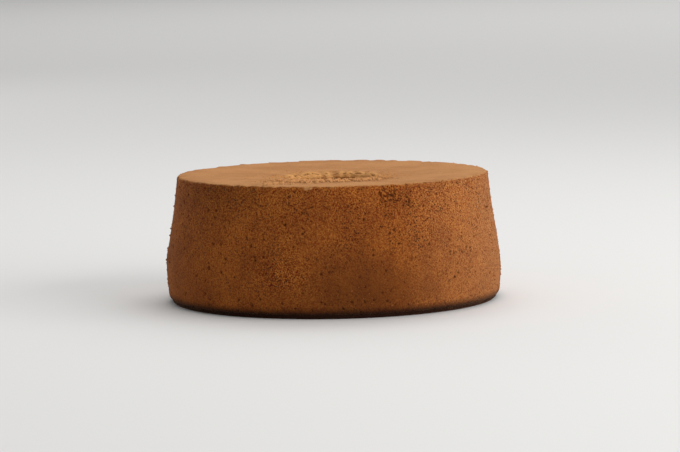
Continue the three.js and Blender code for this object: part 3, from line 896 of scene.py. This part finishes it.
# How many lie on each square: an even share on the side, and more towards the rim and, most of
# all at its front, towards the lip.
to_front = add(scatter, "ShaderNodeMapRange", {
    "Value": axes["Y"], "From Min": LIP_RADIUS / 3, "From Max": -LIP_RADIUS / 3,
    "To Min": CRUMBS_AT_BACK, "To Max": 1,
})
density = add(scatter, "ShaderNodeMath", {0: on_side, 1: given["Side share"]}, operation="MULTIPLY")
for edge, middle, reach, lean in (
    ("Rim share", (RIM_RADIUS - 0.8 * MM, HEIGHT - 0.8 * MM, 0), CRUMBS_ROUND_RIM, 1.0),
    ("Lip share", (LIP_RADIUS + 1 * MM, LIP_HEIGHT - 1 * MM, 0), CRUMBS_ROUND_LIP, to_front),
):
    gap = add(scatter, "ShaderNodeVectorMath", {0: in_section, 1: middle}, operation="DISTANCE")
    near = add(scatter, "ShaderNodeMapRange", {
        "Value": gap.outputs["Value"], "From Min": 0, "From Max": reach, "To Min": 1, "To Max": 0,
    })
    near = add(scatter, "ShaderNodeMath", {0: near, 1: 3.0}, operation="POWER")
    near = add(scatter, "ShaderNodeMath", {0: near, 1: lean}, operation="MULTIPLY")
    density = add(scatter, "ShaderNodeMath", {
        0: near, 1: given[edge], 2: density,
    }, operation="MULTIPLY_ADD")
density = add(scatter, "ShaderNodeMath", {0: density, 1: off_floor}, operation="MULTIPLY")
points = add(scatter, "GeometryNodeDistributePointsOnFaces", {
    "Mesh": given["Cake"], "Density": density, "Seed": 5,
}, distribute_method="RANDOM")
standing_points = add(scatter, "GeometryNodeMeshToPoints", {
    "Mesh": add(scatter, "GeometryNodeObjectInfo", {"Object": given["Standing"]}).outputs["Geometry"],
})

# Most of the grains are small. Each is a ball of 20 faces, squeezed and turned its own way.
size_draw = add(scatter, "FunctionNodeRandomValue", {2: 0.0, 3: 1.0, "Seed": 11}, data_type="FLOAT")
size_draw = add(scatter, "ShaderNodeMath", {0: size_draw, 1: 3.0}, operation="POWER")
size = add(scatter, "ShaderNodeMapRange", {
    "Value": size_draw, "To Min": given["Smallest"], "To Max": given["Largest"],
})
lumpy = add(scatter, "FunctionNodeRandomValue", {
    0: (CRUMB_LUMPINESS[0],) * 3, 1: (CRUMB_LUMPINESS[1],) * 3, "Seed": 13,
}, data_type="FLOAT_VECTOR")
turned_any_way = add(scatter, "FunctionNodeRandomValue", {
    0: (0,) * 3, 1: (2 * math.pi,) * 3, "Seed": 17,
}, data_type="FLOAT_VECTOR")
grain_ball = add(scatter, "GeometryNodeMeshIcoSphere", {"Radius": 1.0, "Subdivisions": 1})
parts = []
for cloud, grain_size in ((points, size), (standing_points, given["Standing size"])):
    scale = add(scatter, "ShaderNodeVectorMath", {0: lumpy, "Scale": grain_size}, operation="SCALE")
    parts.append(add(scatter, "GeometryNodeInstanceOnPoints", {
        "Points": cloud, "Instance": grain_ball, "Rotation": turned_any_way, "Scale": scale,
    }))
everything = add(scatter, "GeometryNodeJoinGeometry")
for part in parts:
    scatter.links.new(part.outputs[0], everything.inputs[0])
tint = add(scatter, "FunctionNodeRandomValue", {
    2: CRUMB_TINTS[0], 3: CRUMB_TINTS[1], "Seed": 19,
}, data_type="FLOAT")
from_top = add(scatter, "ShaderNodeMath", {0: 1.0, 1: on_side}, operation="SUBTRACT")
for name, value in (("tint", tint), ("from_top", from_top)):
    everything = add(scatter, "GeometryNodeStoreNamedAttribute", {
        "Geometry": everything, "Name": name, "Value": value,
    }, data_type="FLOAT", domain="INSTANCE")
plain = add(scatter, "GeometryNodeRealizeInstances", {"Geometry": everything})
covered = add(scatter, "GeometryNodeSetMaterial", {"Geometry": plain, "Material": given["Crumb"]})
add(scatter, "NodeGroupOutput", {"Crumbs": covered})

crumbs = grown(cake, scatter, {
    "Standing": standing, "Side share": CRUMBS_PER_SQUARE_MM["side"] / MM**2,
    "Rim share": CRUMBS_PER_SQUARE_MM["rim"] / MM**2, "Lip share": CRUMBS_PER_SQUARE_MM["lip"] / MM**2,
    "Smallest": CRUMB_SMALLEST, "Largest": CRUMB_LARGEST, "Standing size": CRUMB_STANDING,
    "Crumb": crumb_material,
}, "clinging_crumbs")
bpy.data.objects.remove(standing)
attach(crumbs, "root")


# ---- The floor, the light and the camera ----------------------------------------------------
# A wide, plain, pale floor. One large soft light hangs overhead, a stronger one stands at the
# right, a weak one behind at the left, and the largest lights the floor far behind.

FLOOR_RADIUS = 14
FLOOR_COLOUR = "#e4e3e1"
FLOOR_FIBRES = 2 * MM
FLOOR_BUMP = 0.1 * MM
ROOM_WHITE = "#ffffff"
ROOM_STRENGTH = 0.38

floor_material = bpy.data.materials.new("Pale paper floor")
floor_material.use_nodes = True
tree = floor_material.node_tree
tree.nodes.clear()
place = add(tree, "ShaderNodeTexCoord").outputs["Object"]
fibres = add(tree, "ShaderNodeTexNoise", {"Vector": place, "Scale": 1 / FLOOR_FIBRES, "Detail": 2})
bump = add(tree, "ShaderNodeBump", {"Strength": 0.05, "Distance": FLOOR_BUMP, "Height": fibres})
surface = add(tree, "ShaderNodeBsdfPrincipled", {
    "Base Color": linear(FLOOR_COLOUR), "Roughness": 0.8, "Specular IOR Level": 0.2, "Normal": bump,
})
add(tree, "ShaderNodeOutputMaterial", {"Surface": surface})

bpy.ops.mesh.primitive_circle_add(vertices=128, radius=FLOOR_RADIUS, fill_type="NGON", location=(0, 0, 0))
floor = bpy.context.object
floor.name = "floor"
floor.data.materials.append(floor_material)

world = bpy.data.worlds.new("Pale room")
bpy.context.scene.world = world
world.use_nodes = True
tree = world.node_tree
tree.nodes.clear()
room = add(tree, "ShaderNodeBackground", {"Color": linear(ROOM_WHITE), "Strength": ROOM_STRENGTH})
add(tree, "ShaderNodeOutputWorld", {"Surface": room})


def softbox(name, place, aim, size, power):
    """A large white light at a place, turned to face a point, with its width and height."""
    light = bpy.data.lights.new(name, "AREA")
    light.shape = "RECTANGLE"
    light.size, light.size_y = size
    light.energy = power
    lamp = bpy.data.objects.new(name, light)
    lamp.location = place
    lamp.rotation_euler = (Vector(aim) - Vector(place)).to_track_quat("-Z", "Y").to_euler()
    bpy.context.scene.collection.objects.link(lamp)


CAKE_MIDDLE = Vector((0, 0, 0.048))
softbox("overhead_softbox", place=(0.1, 0.6, 1.8), aim=CAKE_MIDDLE, size=(1.4, 1.4), power=11)
softbox("right_softbox", place=(1.6, -0.85, 0.72), aim=CAKE_MIDDLE, size=(2.3, 1.35), power=32)
softbox("left_softbox", place=(-1.9, 2.6, 0.95), aim=CAKE_MIDDLE, size=(1.6, 1.0), power=7)
softbox("background_softbox", place=(2.6, 6.4, 5), aim=(2.0, 6.4, 0), size=(9, 8), power=238)

CAMERA_DISTANCE = 2.1
CAMERA_ELEVATION = math.radians(6.095)
CAMERA_ROLL = math.radians(-1.061)
PHOTO_WIDTH, PHOTO_HEIGHT = 680, 452
FOCAL_PIXELS = 2802
SENSOR_WIDTH = 36

# The point of the photograph that has the cake's middle, counted from its top left corner.
MIDDLE_PIXEL = Vector((333.28, 233.62))

camera_data = bpy.data.cameras.new("camera")
camera_data.sensor_width = SENSOR_WIDTH
camera_data.lens = FOCAL_PIXELS / PHOTO_WIDTH * SENSOR_WIDTH
camera = bpy.data.objects.new("camera", camera_data)
bpy.context.scene.collection.objects.link(camera)
backwards = Vector((0, -math.cos(CAMERA_ELEVATION), math.sin(CAMERA_ELEVATION)))
camera.location = CAKE_MIDDLE + CAMERA_DISTANCE * backwards
off_centre = MIDDLE_PIXEL - Vector((PHOTO_WIDTH, PHOTO_HEIGHT)) / 2
pan = Matrix.Rotation(math.atan(off_centre.x / FOCAL_PIXELS), 3, "Y")
tilt = Matrix.Rotation(math.atan(off_centre.y / FOCAL_PIXELS), 3, "X")
roll = Matrix.Rotation(CAMERA_ROLL, 3, "Z")
facing = (CAKE_MIDDLE - camera.location).to_track_quat("-Z", "Y").to_matrix()
camera.rotation_euler = (facing @ pan @ tilt @ roll).to_euler()
bpy.context.scene.camera = camera
bpy.context.scene.view_settings.view_transform = "Standard"
